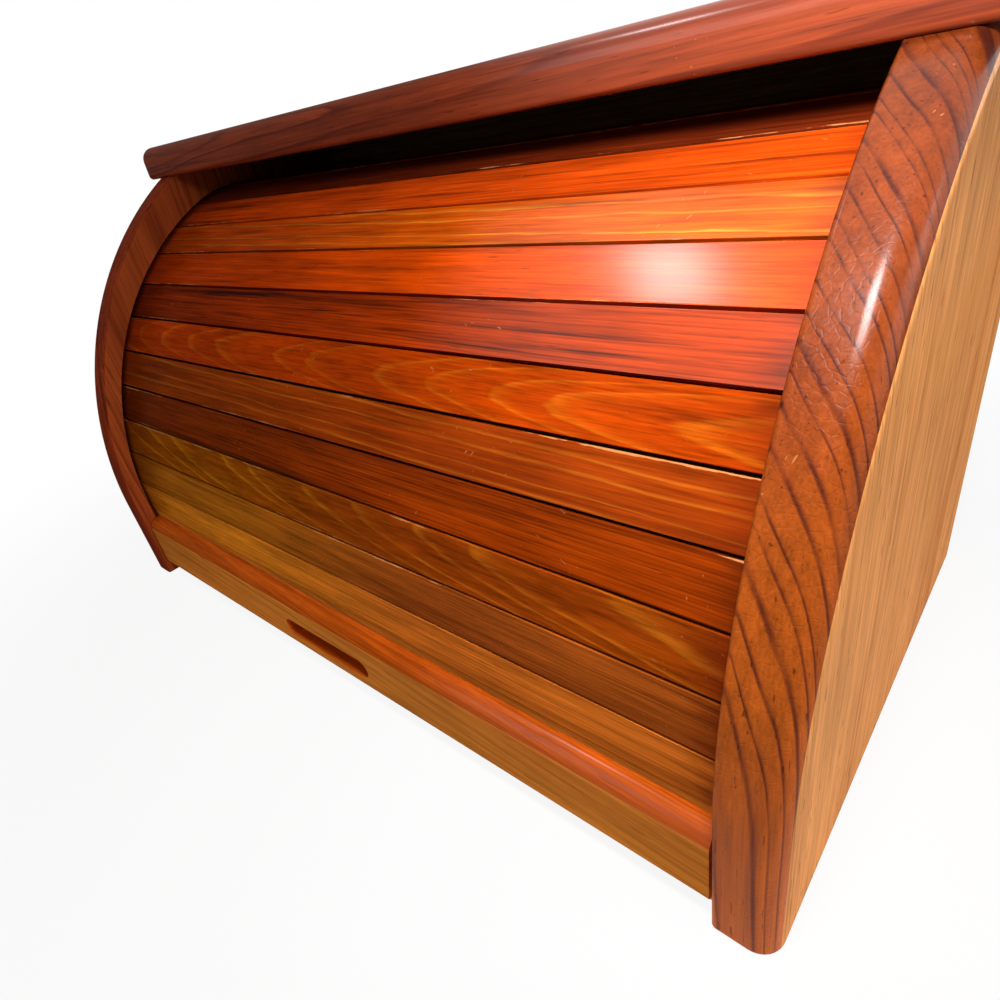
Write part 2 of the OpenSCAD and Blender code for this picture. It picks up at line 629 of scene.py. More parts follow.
def build_effects() -> None:
    """Builds every shared effect once, before the finishes that use them."""
    build_rings()
    build_edges()
    build_marks()
    build_skin()
    build_weave()


def build_rings() -> None:
    """Builds the figure of a plank sawn from a log whose pith runs along the X axis."""
    takes, gives = "Place Spacing Wander Ripple Fine", "Ring Band Fibre Dash Streak"
    net, (at, spacing, wander, ripple, fine), out = new_effect(
        Effect.RINGS, takes, gives
    )
    _, y, z = net.split(at)
    radius = net.math("SQRT", net.add(net.times(y, y), net.times(z, z)))
    slow = net.less(net.noise(at, (6, 26, 26), 2.0, 0.5), 0.5)
    quick = net.less(net.noise(at, (30, 260, 260), 2.5, 0.55), 0.5)
    bent = net.add(radius, net.add(net.times(slow, wander), net.times(quick, ripple)))
    years = net.math("DIVIDE", bent, spacing)
    uneven = net.node("ShaderNodeTexNoise", noise_dimensions="1D")
    net.give(uneven, W=years, Scale=0.45, Detail=1.0)
    years = net.add(years, net.times(uneven.outputs["Fac"], 1.6))
    phase = net.math("FRACT", years)
    year = ((0.0, 0.0), (0.35, 0.06), (0.68, 0.3), (0.86, 1.0), (0.93, 0.9), (1.0, 0.0))
    ring = net.curve(phase, year)
    strength = net.span(net.noise(at, (9, 120, 120), 2.0, 0.5), 0.3, 0.6, 0.35, 1.0)
    ring = net.times(net.math("POWER", ring, fine), strength)
    band = net.noise(at, (3, 60, 60), 3.0, 0.55)
    fibre = net.noise(at, (34, 1500, 1500), 3.0, 0.6)
    coarse = net.noise(at, (12, 420, 420), 3.0, 0.6)
    dash = net.noise(at, (85, 1100, 1100), 1.0, 0.5)
    mottle = net.noise(at, (24, 110, 110), 3.0, 0.6)
    streak = net.noise(at, (5, 330, 330), 4.0, 0.62, 0.4)
    hairs = net.add(net.times(fibre, 0.4), net.times(coarse, 0.35))
    net.give(
        out,
        Ring=ring,
        Band=band,
        Fibre=net.add(hairs, net.times(mottle, 0.25)),
        Dash=net.span(dash, 0.69, 0.76),
        Streak=net.span(streak, 0.52, 0.7),
    )


def build_edges() -> None:
    """Builds a mask of the edges of a block, broken up as handling wears them."""
    net, (at, in_log, half, width), out = new_effect(
        Effect.EDGES, "Place Log Half Width", "Worn"
    )
    left = net.vector("SUBTRACT", half, net.vector("ABSOLUTE", at))
    a, b, c = net.split(left)
    low = net.math("MINIMUM", net.math("MINIMUM", a, b), c)
    high = net.math("MAXIMUM", net.math("MAXIMUM", a, b), c)
    total = net.add(net.add(a, b), c)
    gap = net.less(net.less(total, low), high)
    ragged = net.span(net.noise(in_log, (110, 600, 600), 3.0, 0.6), 0.3, 0.66)
    patch = net.noise(in_log, (10, 30, 30), 2.0, 0.6)
    reach = net.times(width, net.times(net.span(patch, 0.5, 0.62), ragged))
    reach = net.add(reach, 0.00001)
    whole = net.span(gap, net.times(reach, 0.6), reach)
    net.give(out, Worn=net.less(1.0, whole))


def build_marks() -> None:
    """Builds the few small pale scratches and dents of a box in daily use."""
    net, (at, amount), out = new_effect(Effect.MARKS, "Place Amount", "Mark")
    total: object = 0.0
    for turn, stretch, where in (
        ((0.1, 0.2, 0.35), (70, 1500, 1500), 21.0),
        ((0.9, 0.5, -0.7), (90, 1300, 1300), 17.0),
        ((0.3, 1.2, 1.5), (60, 1100, 1100), 25.0),
    ):
        turned = net.node("ShaderNodeMapping", vector_type="POINT")
        net.give(turned, Vector=at, Rotation=turn)
        here = turned.outputs[0]
        line = net.span(net.noise(here, stretch, 0.0), 0.8, 0.85)
        spot = net.span(net.noise(here, (where, where, where), 1.0), 0.62, 0.66)
        total = net.add(net.times(line, spot), total)
    net.give(out, Mark=net.times(total, amount, clamp=True))


def build_skin() -> None:
    """Builds the height of an old brushed varnish: orange peel, sags and dust."""
    net, (at, peel, craze), out = new_effect(Effect.SKIN, "Place Peel Craze", "Height")
    soft = net.noise(at, (240, 240, 240), 2.0, 0.5)
    grit = net.noise(at, (900, 900, 900), 2.0, 0.6)
    cells = net.node("ShaderNodeTexVoronoi", feature="DISTANCE_TO_EDGE")
    net.give(cells, Vector=net.vector("MULTIPLY", at, (420, 420, 420)), Scale=1.0)
    crack = net.span(cells.outputs["Distance"], 0.0, 0.12)
    body = net.add(net.times(soft, 0.7), net.times(grit, 0.3))
    net.give(out, Height=net.add(net.times(body, peel), net.times(crack, craze)))


def build_weave() -> None:
    """Builds a plain weave in the XY plane, as a height and a shade between threads."""
    net, (at, thread), out = new_effect(Effect.WEAVE, "Place Thread", "Height Slub")
    x, y, _ = net.split(at)
    across, along = (
        net.math("SINE", net.math("DIVIDE", net.times(way, math.pi), thread))
        for way in (x, y)
    )
    warp, weft = net.math("ABSOLUTE", across), net.math("ABSOLUTE", along)
    over = net.math("GREATER_THAN", net.times(across, along), 0.0)
    height = net.add(net.times(warp, over), net.times(weft, net.less(1.0, over)))
    net.give(out, Height=height, Slub=net.noise(at, (60, 700, 700), 2.0, 0.6))


# --- Finishes -----------------------------------------------------------------


@dataclass
class Blank:
    """A material under construction.

    Attributes:
        stuff: The material.
        net: Its net.
        shader: Its principled shader.
        at: The place on the piece, in the box's frame.
    """

    stuff: Stuff
    net: Net
    shader: bpy.types.Node
    at: Socket

    @classmethod
    def start(cls, name: str) -> "Blank":
        """Starts a material.

        Args:
            name: Its name.

        Returns:
            The blank, with nothing wired to its shader.
        """
        stuff = bpy.data.materials.new(name)
        stuff.use_nodes = True
        net = Net(stuff.node_tree)
        shader = stuff.node_tree.nodes["Principled BSDF"]
        at = net.node("ShaderNodeTexCoord").outputs["Object"]
        return cls(stuff, net, shader, at)

    def give(self, **values: object) -> None:
        """Feeds the shader's sockets by name: outputs are wired, values are set."""
        self.net.give(self.shader, **values)

    def bump(self, height: object, strength: float, depth: float) -> None:
        """Adds relief to the surface.

        Args:
            height: The height, from 0 to 1.
            strength: How strongly it shows.
            depth: The distance that a height of 1 stands for, in metres.
        """
        bump = self.net.node("ShaderNodeBump")
        self.net.give(bump, Strength=strength, Distance=depth, Height=height)
        self.give(Normal=bump.outputs[0])


class Slot(Enum):
    """The record's material slots."""

    PINE = "pine"
    DARK = "pine_dark"
    PLAIN = "pine_plain"
    CANVAS = "canvas"
    STEEL = "steel"


@dataclass(frozen=True)
class Spot:
    """Where a piece made about the origin sits on the box, and how it slopes.

    Attributes:
        middle: The piece's middle, in millimetres.
        slope: The turn about X, in degrees, from lying flat.
        grain: Further turns that bring the grain to the piece's own X axis.
    """

    middle: Point
    slope: float = 0.0
    grain: Point = (0, 0, 0)

    def inward(self) -> Matrix:
        """Finds the way into the piece's own axes.

        Returns:
            The move from the box's frame.
        """
        turn = Matrix.Rotation(math.radians(self.slope), 4, "X")
        own = Euler([math.radians(a) for a in self.grain]).to_matrix().to_4x4()
        return (Matrix.Translation(Vector(self.middle) * MM) @ turn @ own).inverted()


@dataclass(frozen=True)
class Timber:
    """A stained, varnished board: how it was sawn and how it has aged.

    Attributes:
        name: The material's name.
        ground: The stain's colour on the soft wood between the rings.
        line: The colour of a ring's hard line.
        shade: The colour that slow bands and the painted shade on the ends run to.
        spacing: Ring spacing, in millimetres.
        pith: The pith, in millimetres, from the board's middle, in its own axes.
        tilt: How the pith leans from the grain, in degrees about Y and Z.
        wander: How far the rings bend slowly, in millimetres.
        ripple: How far they bend quickly, in millimetres.
        depth: How strongly the ring lines show.
        fine: How narrow the ring lines are, from 1 upwards.
        band: How strongly the slow bands show.
        fibre: How strongly the fibres show.
        streak: How strongly the long dark streaks show.
        dash: How strongly resin dashes show.
        end_shade: How dark the painted shade on the board's ends is.
        worn: How far wear has bared the edges, in millimetres.
        bare: The colour of bare, worn wood.
        marks: How many scratches there are.
        coat: The weight of the varnish.
        right: Painted shade (below 1) and light (above 1) on the stain toward the far
            end.
        coat_right: The weight at the far end, where handling has spared it.
        gloss: The roughness of the varnish.
        shine: The specular level of the stained wood under it.
        peel: The height of its orange peel.
        craze: The depth of its cracks.
    """

    name: str
    ground: Colour
    line: Colour
    shade: Colour = (60, 24, 10)
    spacing: float = 2.2
    pith: tuple[float, float] = (60.0, -40.0)
    tilt: tuple[float, float] = (0.6, 0.4)
    wander: float = 3.0
    ripple: float = 0.5
    depth: float = 0.8
    fine: float = 1.0
    band: float = 0.35
    fibre: float = 0.5
    streak: float = 0.0
    dash: float = 0.4
    end_shade: float = 0.0
    worn: float = 0.8
    bare: Colour = (184, 122, 72)
    marks: float = 0.5
    coat: float = 0.02
    right: tuple[float, float, float] | None = None
    coat_right: float | None = None
    gloss: float = 0.2
    shine: float = 0.0
    peel: float = 1.0
    craze: float = 0.0

    def make(self, spot: Spot, half: Point, seed: float) -> Stuff:
        """Builds the material for a board at a spot.

        Args:
            spot: Where the board is, which turns the grain with it.
            half: Half of the board's size in its own axes, in millimetres.
            seed: Moves the log along, so that no two boards are alike.

        Returns:
            The material.
        """
        blank = Blank.start(self.name)
        net, at = blank.net, blank.at
        own = net.mapped(at, spot.inward())
        lean = Euler([0, math.radians(self.tilt[0]), math.radians(self.tilt[1])])
        log_move = (
            Matrix.Translation((seed, 0, 0))
            @ lean.to_matrix().to_4x4()
            @ Matrix.Translation((0, -self.pith[0] * MM, -self.pith[1] * MM))
            @ spot.inward()
        )
        in_log = net.mapped(at, log_move)
        rings = net.group(
            Effect.RINGS,
            Place=in_log,
            Spacing=self.spacing * MM,
            Wander=self.wander * MM * 2,
            Ripple=self.ripple * MM * 2,
            Fine=self.fine,
        )
        size, width = Vector(half) * MM, self.worn * MM
        worn = net.group(Effect.EDGES, Place=own, Log=in_log, Half=size, Width=width)[0]
        mark = net.group(Effect.MARKS, Place=in_log, Amount=self.marks)[0]
        skin = net.group(Effect.SKIN, Place=own, Peel=self.peel, Craze=self.craze)[0]
        colour = self.stain(net, rings)
        # Painted shade on the board's ends, where the slats run in beside the sides.
        if self.end_shade:
            colour = self.with_end_shade(net, own, in_log, half, colour)
        along, _, _ = net.split(own)
        # Painted light and shade: the stain is darkened where a factor is below 1, and
        # lightened where it is above 1, toward the far end, for how the lamps fall
        # there.
        if self.right:
            far = net.span(along, -0.09, 0.08)
            colour = net.mix(far, colour, (*self.right, 1.0), "MULTIPLY")
        colour = net.mix(net.times(worn, 0.8), colour, linear(self.bare))
        colour = net.mix(net.times(mark, 0.7), colour, linear(self.bare))
        bare = net.math("MAXIMUM", worn, mark, clamp=True)
        rough = net.span(net.add(rings["Fibre"], bare), 0.3, 1.2, 0.34, 0.66)
        blank.give(Base_Color=colour, Roughness=rough)
        weight: object = self.coat
        if self.coat_right is not None:
            weight = net.span(along, 0.04, 0.12, self.coat, self.coat_right)
        spared = net.less(1.0, bare)
        blank.give(Coat_Weight=net.times(spared, weight), Coat_Roughness=self.gloss)
        blank.give(Coat_IOR=VARNISH_IOR, Specular_IOR_Level=self.shine)
        wood = net.add(net.times(rings["Fibre"], 0.12), net.times(rings["Ring"], 0.1))
        relief = net.add(net.times(skin, 0.22), wood)
        relief = net.less(relief, net.times(bare, 0.2))
        blank.bump(relief, 0.6, 0.0006)
        return blank.stuff

    def stain(self, net: Net, rings: bpy.types.bpy_prop_collection) -> Socket:
        """Lays the stain over the figure: rings, bands, streaks, fibres and dashes.

        Args:
            net: The material's net.
            rings: The outputs of the board's growth rings.

        Returns:
            The stained colour.
        """
        colour = net.mix(
            net.times(rings["Ring"], self.depth), linear(self.ground), linear(self.line)
        )
        slow = net.span(rings["Band"], 0.42, 0.7, 0.0, self.band)
        colour = net.mix(slow, colour, linear(self.shade))
        if self.streak:
            colour = net.mix(
                net.times(rings["Streak"], self.streak), colour, linear(self.shade)
            )
        hair = net.span(
            rings["Fibre"],
            0.3,
            0.7,
            1.0 - 0.9 * self.fibre,
            1.0 + 0.8 * self.fibre,
            smooth=False,
        )
        colour = net.mix(1.0, colour, hair, "MULTIPLY")
        return net.mix(
            net.times(rings["Dash"], self.dash),
            colour,
            linear(tuple(int(c * 0.45) for c in self.line)),
        )

    def with_end_shade(
        self, net: Net, own: Socket, in_log: Socket, half: Point, colour: Socket
    ) -> Socket:
        """Paints shade on the board's ends, the left one further in, beside the sides.

        Args:
            net: The material's net.
            own: The place in the board's own axes.
            in_log: The place in the log, which frays the painted shade.
            half: Half of the board's size, in millimetres.
            colour: The stained colour.

        Returns:
            The colour with its ends darkened.
        """
        x, _, _ = net.split(own)
        frayed = net.times(net.noise(in_log, (30, 160, 160), 3.0, 0.6), 0.03)
        right = net.span(net.add(x, frayed), half[0] * MM - 0.008, half[0] * MM + 0.012)
        left = net.span(net.less(frayed, x), half[0] * MM - 0.045, half[0] * MM + 0.018)
        dark = net.math("MAXIMUM", left, right)
        return net.mix(net.times(dark, self.end_shade), colour, linear(self.shade))


@dataclass(frozen=True)
class Canvas:
    """The unbleached cotton canvas glued behind the slats.

    Attributes:
        name: The material's name.
        thread: The distance between threads, in millimetres.
        light: The colour of a thread's crown.
        dark: The colour between threads, a painted shade in the weave's hollows.
    """

    name: str = "canvas_cotton"
    thread: float = 0.55
    light: Colour = (206, 190, 158)
    dark: Colour = (120, 100, 74)

    def make(self, spot: Spot) -> Stuff:
        """Builds the cloth's material.

        Args:
            spot: Where the strip is.

        Returns:
            The material.
        """
        blank = Blank.start(self.name)
        net, at = blank.net, blank.at
        own = net.mapped(at, spot.inward())
        weave = net.group(Effect.WEAVE, Place=own, Thread=self.thread * MM)
        height = weave["Height"]
        # Painted shade: the hollows between threads are darkened by the weave's height.
        colour = net.mix(height, linear(self.dark), linear(self.light))
        stain = net.noise(own, (14, 30, 30), 3.0, 0.6)
        colour = net.mix(
            net.span(stain, 0.45, 0.75, 0.0, 0.5), colour, linear((146, 112, 70))
        )
        tone = net.span(weave["Slub"], 0.3, 0.7, 0.84, 1.12, smooth=False)
        colour = net.mix(1.0, colour, tone, "MULTIPLY")
        rough = net.span(height, 0.0, 1.0, 0.95, 0.82)
        blank.give(Base_Color=colour, Roughness=rough)
        blank.give(Specular_IOR_Level=0.2)
        blank.bump(height, 0.8, 0.0002)
        return blank.stuff


@dataclass(frozen=True)
class ScrewSteel:
    """Zinc-plated steel with turning marks and a little rust in the recess.

    Attributes:
        name: The material's name.
        bright: The plated colour.
        rust: The colour where the plating has gone.
    """

    name: str = "steel_zinc"
    bright: Colour = (176, 174, 166)
    rust: Colour = (104, 66, 40)

    def make(self) -> Stuff:
        """Builds the screws' material.

        Returns:
            The material.
        """
        blank = Blank.start(self.name)
        net, at = blank.net, blank.at
        spots = net.span(net.noise(at, (900, 900, 900), 4.0, 0.65), 0.52, 0.68)
        rust = net.times(spots, 0.8)
        blank.give(
            Base_Color=net.mix(spots, linear(self.bright), linear(self.rust)),
            Metallic=net.less(1.0, rust),
            Roughness=net.span(spots, 0.0, 1.0, 0.32, 0.8),
        )
        blank.bump(net.noise(at, (2400, 500, 2400), 2.0, 0.5), 0.4, 0.0001)
        return blank.stuff


def second_finish(obj: Piece, stuff: Stuff, takes: Test) -> Piece:
    """Gives some faces of a dressed piece another finish.

    Args:
        obj: The piece.
        stuff: The other material.
        takes: Tells, for a face's normal, whether the face takes it.

    Returns:
        The same piece.
    """
    obj.data.materials.append(stuff)
    for face in obj.data.polygons:
        face.material_index = int(takes(face.normal))
    return obj


def dress(
    obj: Piece, stuff: Stuff, body: str, nodes: Sequence[str] = ()
) -> Piece:
    """Gives a finished piece its material and body, and hides the nodes it stands for.

    Args:
        obj: The piece.
        stuff: Its material.
        body: The CAD body that it rides on.
        nodes: The CAD nodes that it replaces.

    Returns:
        The same piece.
    """
    obj.data.materials.clear()
    obj.data.materials.append(stuff)
    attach(obj, body)
    if nodes:
        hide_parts(*nodes)
    log.info("%s on %s: %d faces", obj.name, body, len(obj.data.polygons))
    return obj


# --- The case -----------------------------------------------------------------


class Hand(Enum):
    """Which side of the box a piece is on, as a sign of X."""

    LEFT = -1
    RIGHT = 1


@dataclass
class Path:
    """The curtain's run: up the foot, over the front, round the rear turn and down.

    Attributes:
        roll_y: The roll's centre, in millimetres from the middle, front to back.
        roll_z: Its height.
        roll_r: The radius of the curtain's face over the front.
        rear_r: The radius of the curtain's face round the rear turn.
        thick: The thickness of a slat.
        turn: How far round the front the run goes, in degrees.
    """

    roll_y: float = 64.0
    roll_z: float = 50.0
    roll_r: float = 162.5
    rear_r: float = 70.0
    thick: float = 6.0
    turn: float = 67.0958

    @property
    def rear(self) -> tuple[float, float]:
        """Finds the centre of the rear turn.

        Returns:
            The centre, as (y, z).
        """
        reach = self.roll_r - self.rear_r
        a = math.radians(self.turn)
        return self.roll_y - reach * math.cos(a), self.roll_z + reach * math.sin(a)

    def belt(self, s: float) -> tuple[float, float]:
        """Finds a point of the canvas line.

        Args:
            s: The distance along the line from the start of the round front.

        Returns:
            The point, as (y, z).
        """
        r, q = self.roll_r - self.thick, self.rear_r - self.thick
        front = r * math.radians(self.turn)
        back = q * math.radians(180 - self.turn)
        cy, cz = self.rear
        if s < 0:
            return self.roll_y - r, self.roll_z + s
        if s < front:
            a = s / r
            return self.roll_y - r * math.cos(a), self.roll_z + r * math.sin(a)
        if s < front + back:
            a = math.radians(self.turn) + (s - front) / q
            return cy - q * math.cos(a), cz + q * math.sin(a)
        return cy + q, cz - (s - front - back)


@dataclass
class Case:
    """The fixed body of the box: sides, top, floor, back and what holds them.

    Attributes:
        half: Half the width over the sides, in millimetres.
        side: The thickness of a side.
        deep: Half the depth.
        tall: The height of a side.
        arc_r: The radius of the sides' round front.
        arc_z: The height at which it starts.
        corner: The roundover of the outer front corner.
        top: The thickness of the top board.
        top_front: Where the top board starts, front to back.
        overhang: How far it stands past the sides.
        path: The curtain's run, which the grooves follow.
        play: The play of a slat in its groove.
    """

    half: float = 200.0
    side: float = 19.0
    deep: float = 108.0
    tall: float = 215.0
    arc_r: float = 193.5
    arc_z: float = 48.0
    corner: float = 8.0
    top: float = 16.0
    top_front: float = -12.5
    overhang: float = 12.0
    play: float = 1.2
    path: Path = field(default_factory=Path)

    def build(self) -> None:
        """Builds and dresses the pieces of the case."""
        groove = self.groove()
        for hand in Hand:
            self.dress_side(self.side_panel(hand, groove), hand)
        bpy.data.objects.remove(groove)
        self.dress_top(self.top_board())
        self.dress_inside(self.floor(), self.back())
        self.dress_pins(self.screws())

    def groove(self) -> Piece:
        """Sweeps the shape of the groove.

        Returns:
            The shape, on the right side of the box.
        """
        path, x0, x1 = self.path, self.half - self.side - 1, self.half - self.side + 7
        r0 = path.roll_r - path.thick - self.play
        r1 = path.roll_r + self.play
        start = 24.0
        shape = box(
            "groove", (x0, path.roll_y - r1, start - 1), (x1, path.roll_y - r0, start)
        )
        cy, cz = path.rear
        with editing(shape, "FACE") as mesh:
            for face in mesh.faces:
                face.select = face.normal.z > 0.9
            mesh.select_flush(True)
            bpy.ops.mesh.extrude_region_move(
                TRANSFORM_OT_translate={"value": (0, 0, (path.roll_z - start) * MM)}
            )
            bpy.ops.mesh.spin(
                steps=28,
                angle=math.radians(path.turn),
                center=(0, path.roll_y * MM, path.roll_z * MM),
                axis=(1, 0, 0),
            )
            bpy.ops.mesh.spin(
                steps=40,
                angle=math.radians(180 - path.turn),
                center=(0, cy * MM, cz * MM),
                axis=(1, 0, 0),
            )
            bpy.ops.mesh.extrude_region_move(
                TRANSFORM_OT_translate={"value": (0, 0, (7.0 - cz) * MM)}
            )
            weld(0.000005)
        return shape

    def on_front(self, p: Vector) -> bool:
        """Tells whether a point is on the front profile of a side.

        Args:
            p: The point, in millimetres.

        Returns:
            True when it is.
        """
        if p.z <= self.arc_z + 0.01:
            return abs(p.y + self.deep) < 0.01
        away = math.hypot(p.y - (self.arc_r - self.deep), p.z - self.arc_z)
        return abs(away - self.arc_r) < 0.05

    def side_panel(self, hand: Hand, groove: Piece) -> Piece:
        """Shapes one side: round front, roundovers, groove, housing, rebate and holes.

        Args:
            hand: Which side it is.
            groove: The shape of the groove, on the right.

        Returns:
            The side panel.
        """
        s = hand.value
        inner, outer = self.half - self.side, self.half
        name = f"side_{hand.name.lower()}"
        crest = self.arc_z + self.arc_r
        panel = box(name, (s * inner, -self.deep, 0), (s * outer, self.deep, crest))
        round_edges(
            panel,
            lambda p: abs(p.y + self.deep) < 0.01 and abs(p.z - crest) < 0.01,
            self.arc_r,
            72,
        )
        with editing(panel):
            bpy.ops.mesh.select_all(action="SELECT")
            bpy.ops.mesh.bisect(
                plane_co=(0, 0, self.tall * MM),
                plane_no=(0, 0, 1),
                clear_outer=True,
                use_fill=True,
            )
        for x, radius, steps in ((outer, self.corner, 10), (inner, 1.5, 4)):
            round_edges(
                panel,
                lambda p: abs(abs(p.x) - x) < 0.01 and self.on_front(p),
                radius,
                steps,
                lambda d: abs(d.x) < 0.5,
            )
        round_edges(panel, lambda p: p.z < 0.01, 1.2, 3)
        cutter = twin(groove, "cutter")
        if hand is Hand.LEFT:
            only(cutter)
            bpy.ops.transform.resize(value=(-1, 1, 1), center_override=(0, 0, 0))
            settled()
            with editing(cutter):
                weld(0.000002)
        cut(panel, cutter)
        y = BACK_FRONT
        housing = ((inner - 1, -y, FLOOR_LOW), (inner + HOUSING, y, FLOOR_TOP))
        rebate = ((inner - 1, y, -1), (inner + REBATE, self.deep + 1, self.tall + 1))
        for low, high in (housing, rebate):
            low, high = (s * low[0], *low[1:]), (s * high[0], *high[1:])
            cut(panel, box("waste", low, high))
        for_dowel, for_screw = s * (inner + 9.5), s * (inner + 10)
        holes = [rod("hole", (for_dowel, y, self.tall - 10), 4, 11) for y in DOWEL_ROWS]
        holes += [
            rod("hole", (for_screw, 102.5, z), 1.5, 10.5, None, 20, TO_FRONT)
            for z in SCREW_LEVELS
        ]
        cut(panel, join(holes))
        return clean(panel)

    def dress_side(self, panel: Piece, hand: Hand) -> None:
        """Gives a side its timber, whose grain stands upright.

        Args:
            panel: The side.
            hand: Which side it is.
        """
        spot = Spot((hand.value * 190.5, 0, 108), grain=(0, -90, 0))
        edge, face = (
            timber.make(spot, (108, 108, 9.5), 0.4 + 0.9 * (hand.value > 0))
            for timber in SIDE_TIMBER[hand]
        )
        dress(panel, edge, "case", [f"side_panel_{hand.name.lower()}"])
        second_finish(panel, face, lambda n: abs(n.x) > 0.96)

    def top_board(self) -> Piece:
        """Shapes the top board: round corners, front and ends, and dowel holes.

        Returns:
            The board.
        """
        w, y0, z0 = self.half + self.overhang, self.top_front, self.tall
        z1 = z0 + self.top
        board = box("top", (-w, y0, z0), (w, self.deep, z1))
        round_edges(board, lambda p: p.y < y0 + 0.01, 8.0, 10, lambda d: abs(d.z) > 0.9)
        for level, radius, steps in ((z1, 7.0, 8), (z0, 2.0, 3)):
            round_edges(
                board,
                lambda p: abs(p.z - level) < 0.01,
                radius,
                steps,
                midway=lambda p: p.y < self.deep - 0.01,
            )
        cut(
            board,
            join(
                [
                    rod("hole", (s * (self.half - self.side / 2), y, z0 - 1), 4, 11)
                    for s in (-1, 1)
                    for y in DOWEL_ROWS
                ]
            ),
        )
        return board

    def dress_top(self, board: Piece) -> None:
        """Gives the top board its dark timber.

        Args:
            board: The board.
        """
        spot = Spot((0, 47.75, self.tall + self.top / 2))
        stuff = TOP_TIMBER.make(spot, (212, 60.25, self.top / 2), 3.1)
        dress(clean(board), stuff, "case", ["top_board"])

    def floor(self) -> Piece:
        """Shapes the floor board, eased along its front edge.

        Returns:
            The board.
        """
        x, y = self.half - self.side + HOUSING, BACK_FRONT
        board = box("floor", (-x, -y, FLOOR_LOW), (x, y, FLOOR_TOP))
        round_edges(board, lambda p: abs(p.y + y) < 0.01, 1.0, 3, runs_across)
        return board

    def back(self) -> Piece:
        """Shapes the back panel, with its countersunk screw holes.

        Returns:
            The panel.
        """
        x = self.half - self.side + REBATE
        board = box("back", (-x, BACK_FRONT, 0), (x, self.deep, self.tall))
        round_edges(board, lambda p: abs(p.y - self.deep) < 0.01, 0.6, 2)
        holes = []
        for x in (-SCREW_AT, SCREW_AT):
            for z in SCREW_LEVELS:
                sink, bore = (x, self.deep + 0.01, z), (x, 106.5, z)
                holes.append(rod("hole", sink, 3.05, 1.85, 1.55, 24, TO_FRONT))
                holes.append(rod("hole", bore, 1.55, 6, None, 24, TO_FRONT))
        for hole in holes:
            cut(board, hole)
        return board

    def dress_inside(self, floor: Piece, back: Piece) -> None:
        """Gives the floor and the back their plain timber.

        Args:
            floor: The floor board.
            back: The back panel.
        """
        spot = Spot((0, 0, 5))
        stuff = PLAIN_TIMBER.make(spot, (187, BACK_FRONT, 3), 5.2)
        dress(clean(floor), stuff, "case", ["bottom_board"])
        spot = Spot((0, 105, 108), slope=-90)
        stuff = PLAIN_TIMBER.make(spot, (194, 108, 3), 6.7)
        dress(clean(back), stuff, "case", ["back_panel"])

    def screws(self) -> list[Piece]:
        """Makes a countersunk screw with a cross recess for each hole.

        Returns:
            The screws.
        """
        x, z0 = SCREW_AT, SCREW_LEVELS[0]
        head = rod("back_screw", (x, self.deep, z0), 3.0, 1.8, 1.5, 32, TO_FRONT)
        fuse(head, rod("shank", (x, 106.5, z0), 1.5, 13.0, 1.2, 24, TO_FRONT))
        fuse(head, rod("point", (x, 93.6, z0), 1.2, 1.6, 0.3, 24, TO_FRONT))
        for w, h in ((3.4, 0.55), (0.55, 3.4)):
            low = (x - w / 2, self.deep - 1, z0 - h / 2)
            high = (x + w / 2, self.deep + 1, z0 + h / 2)
            cut(head, box("recess", low, high))
        clean(head)
        made = []
        for s in (-1, 1):
            for z in SCREW_LEVELS:
                screw = twin(head, f"back_screw_{'l' if s < 0 else 'r'}{z}")
                only(screw)
                screw.location = Vector(((s - 1) * x, 0, z - z0)) * MM
                settled()
                made.append(screw)
        bpy.data.objects.remove(head)
        return made

    def dress_pins(self, screws: list[Piece]) -> None:
        """Gives the screws their steel and the hidden dowels their bare pine.

        Args:
            screws: The screws, the first of which stands for the CAD node.
        """
        steel = ScrewSteel().make()
        for i, screw in enumerate(screws):
            dress(screw, steel, "case", ["back_screws"] if i == 0 else ())
        spot = Spot((0, 49, self.tall), grain=(0, -90, 0))
        stuff = DOWEL_TIMBER.make(spot, (10, 40, 195), 7.7)
        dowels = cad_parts["top_dowels"]
        dowels.data.materials.clear()
        dowels.data.materials.append(stuff)


# --- The curtain --------------------------------------------------------------


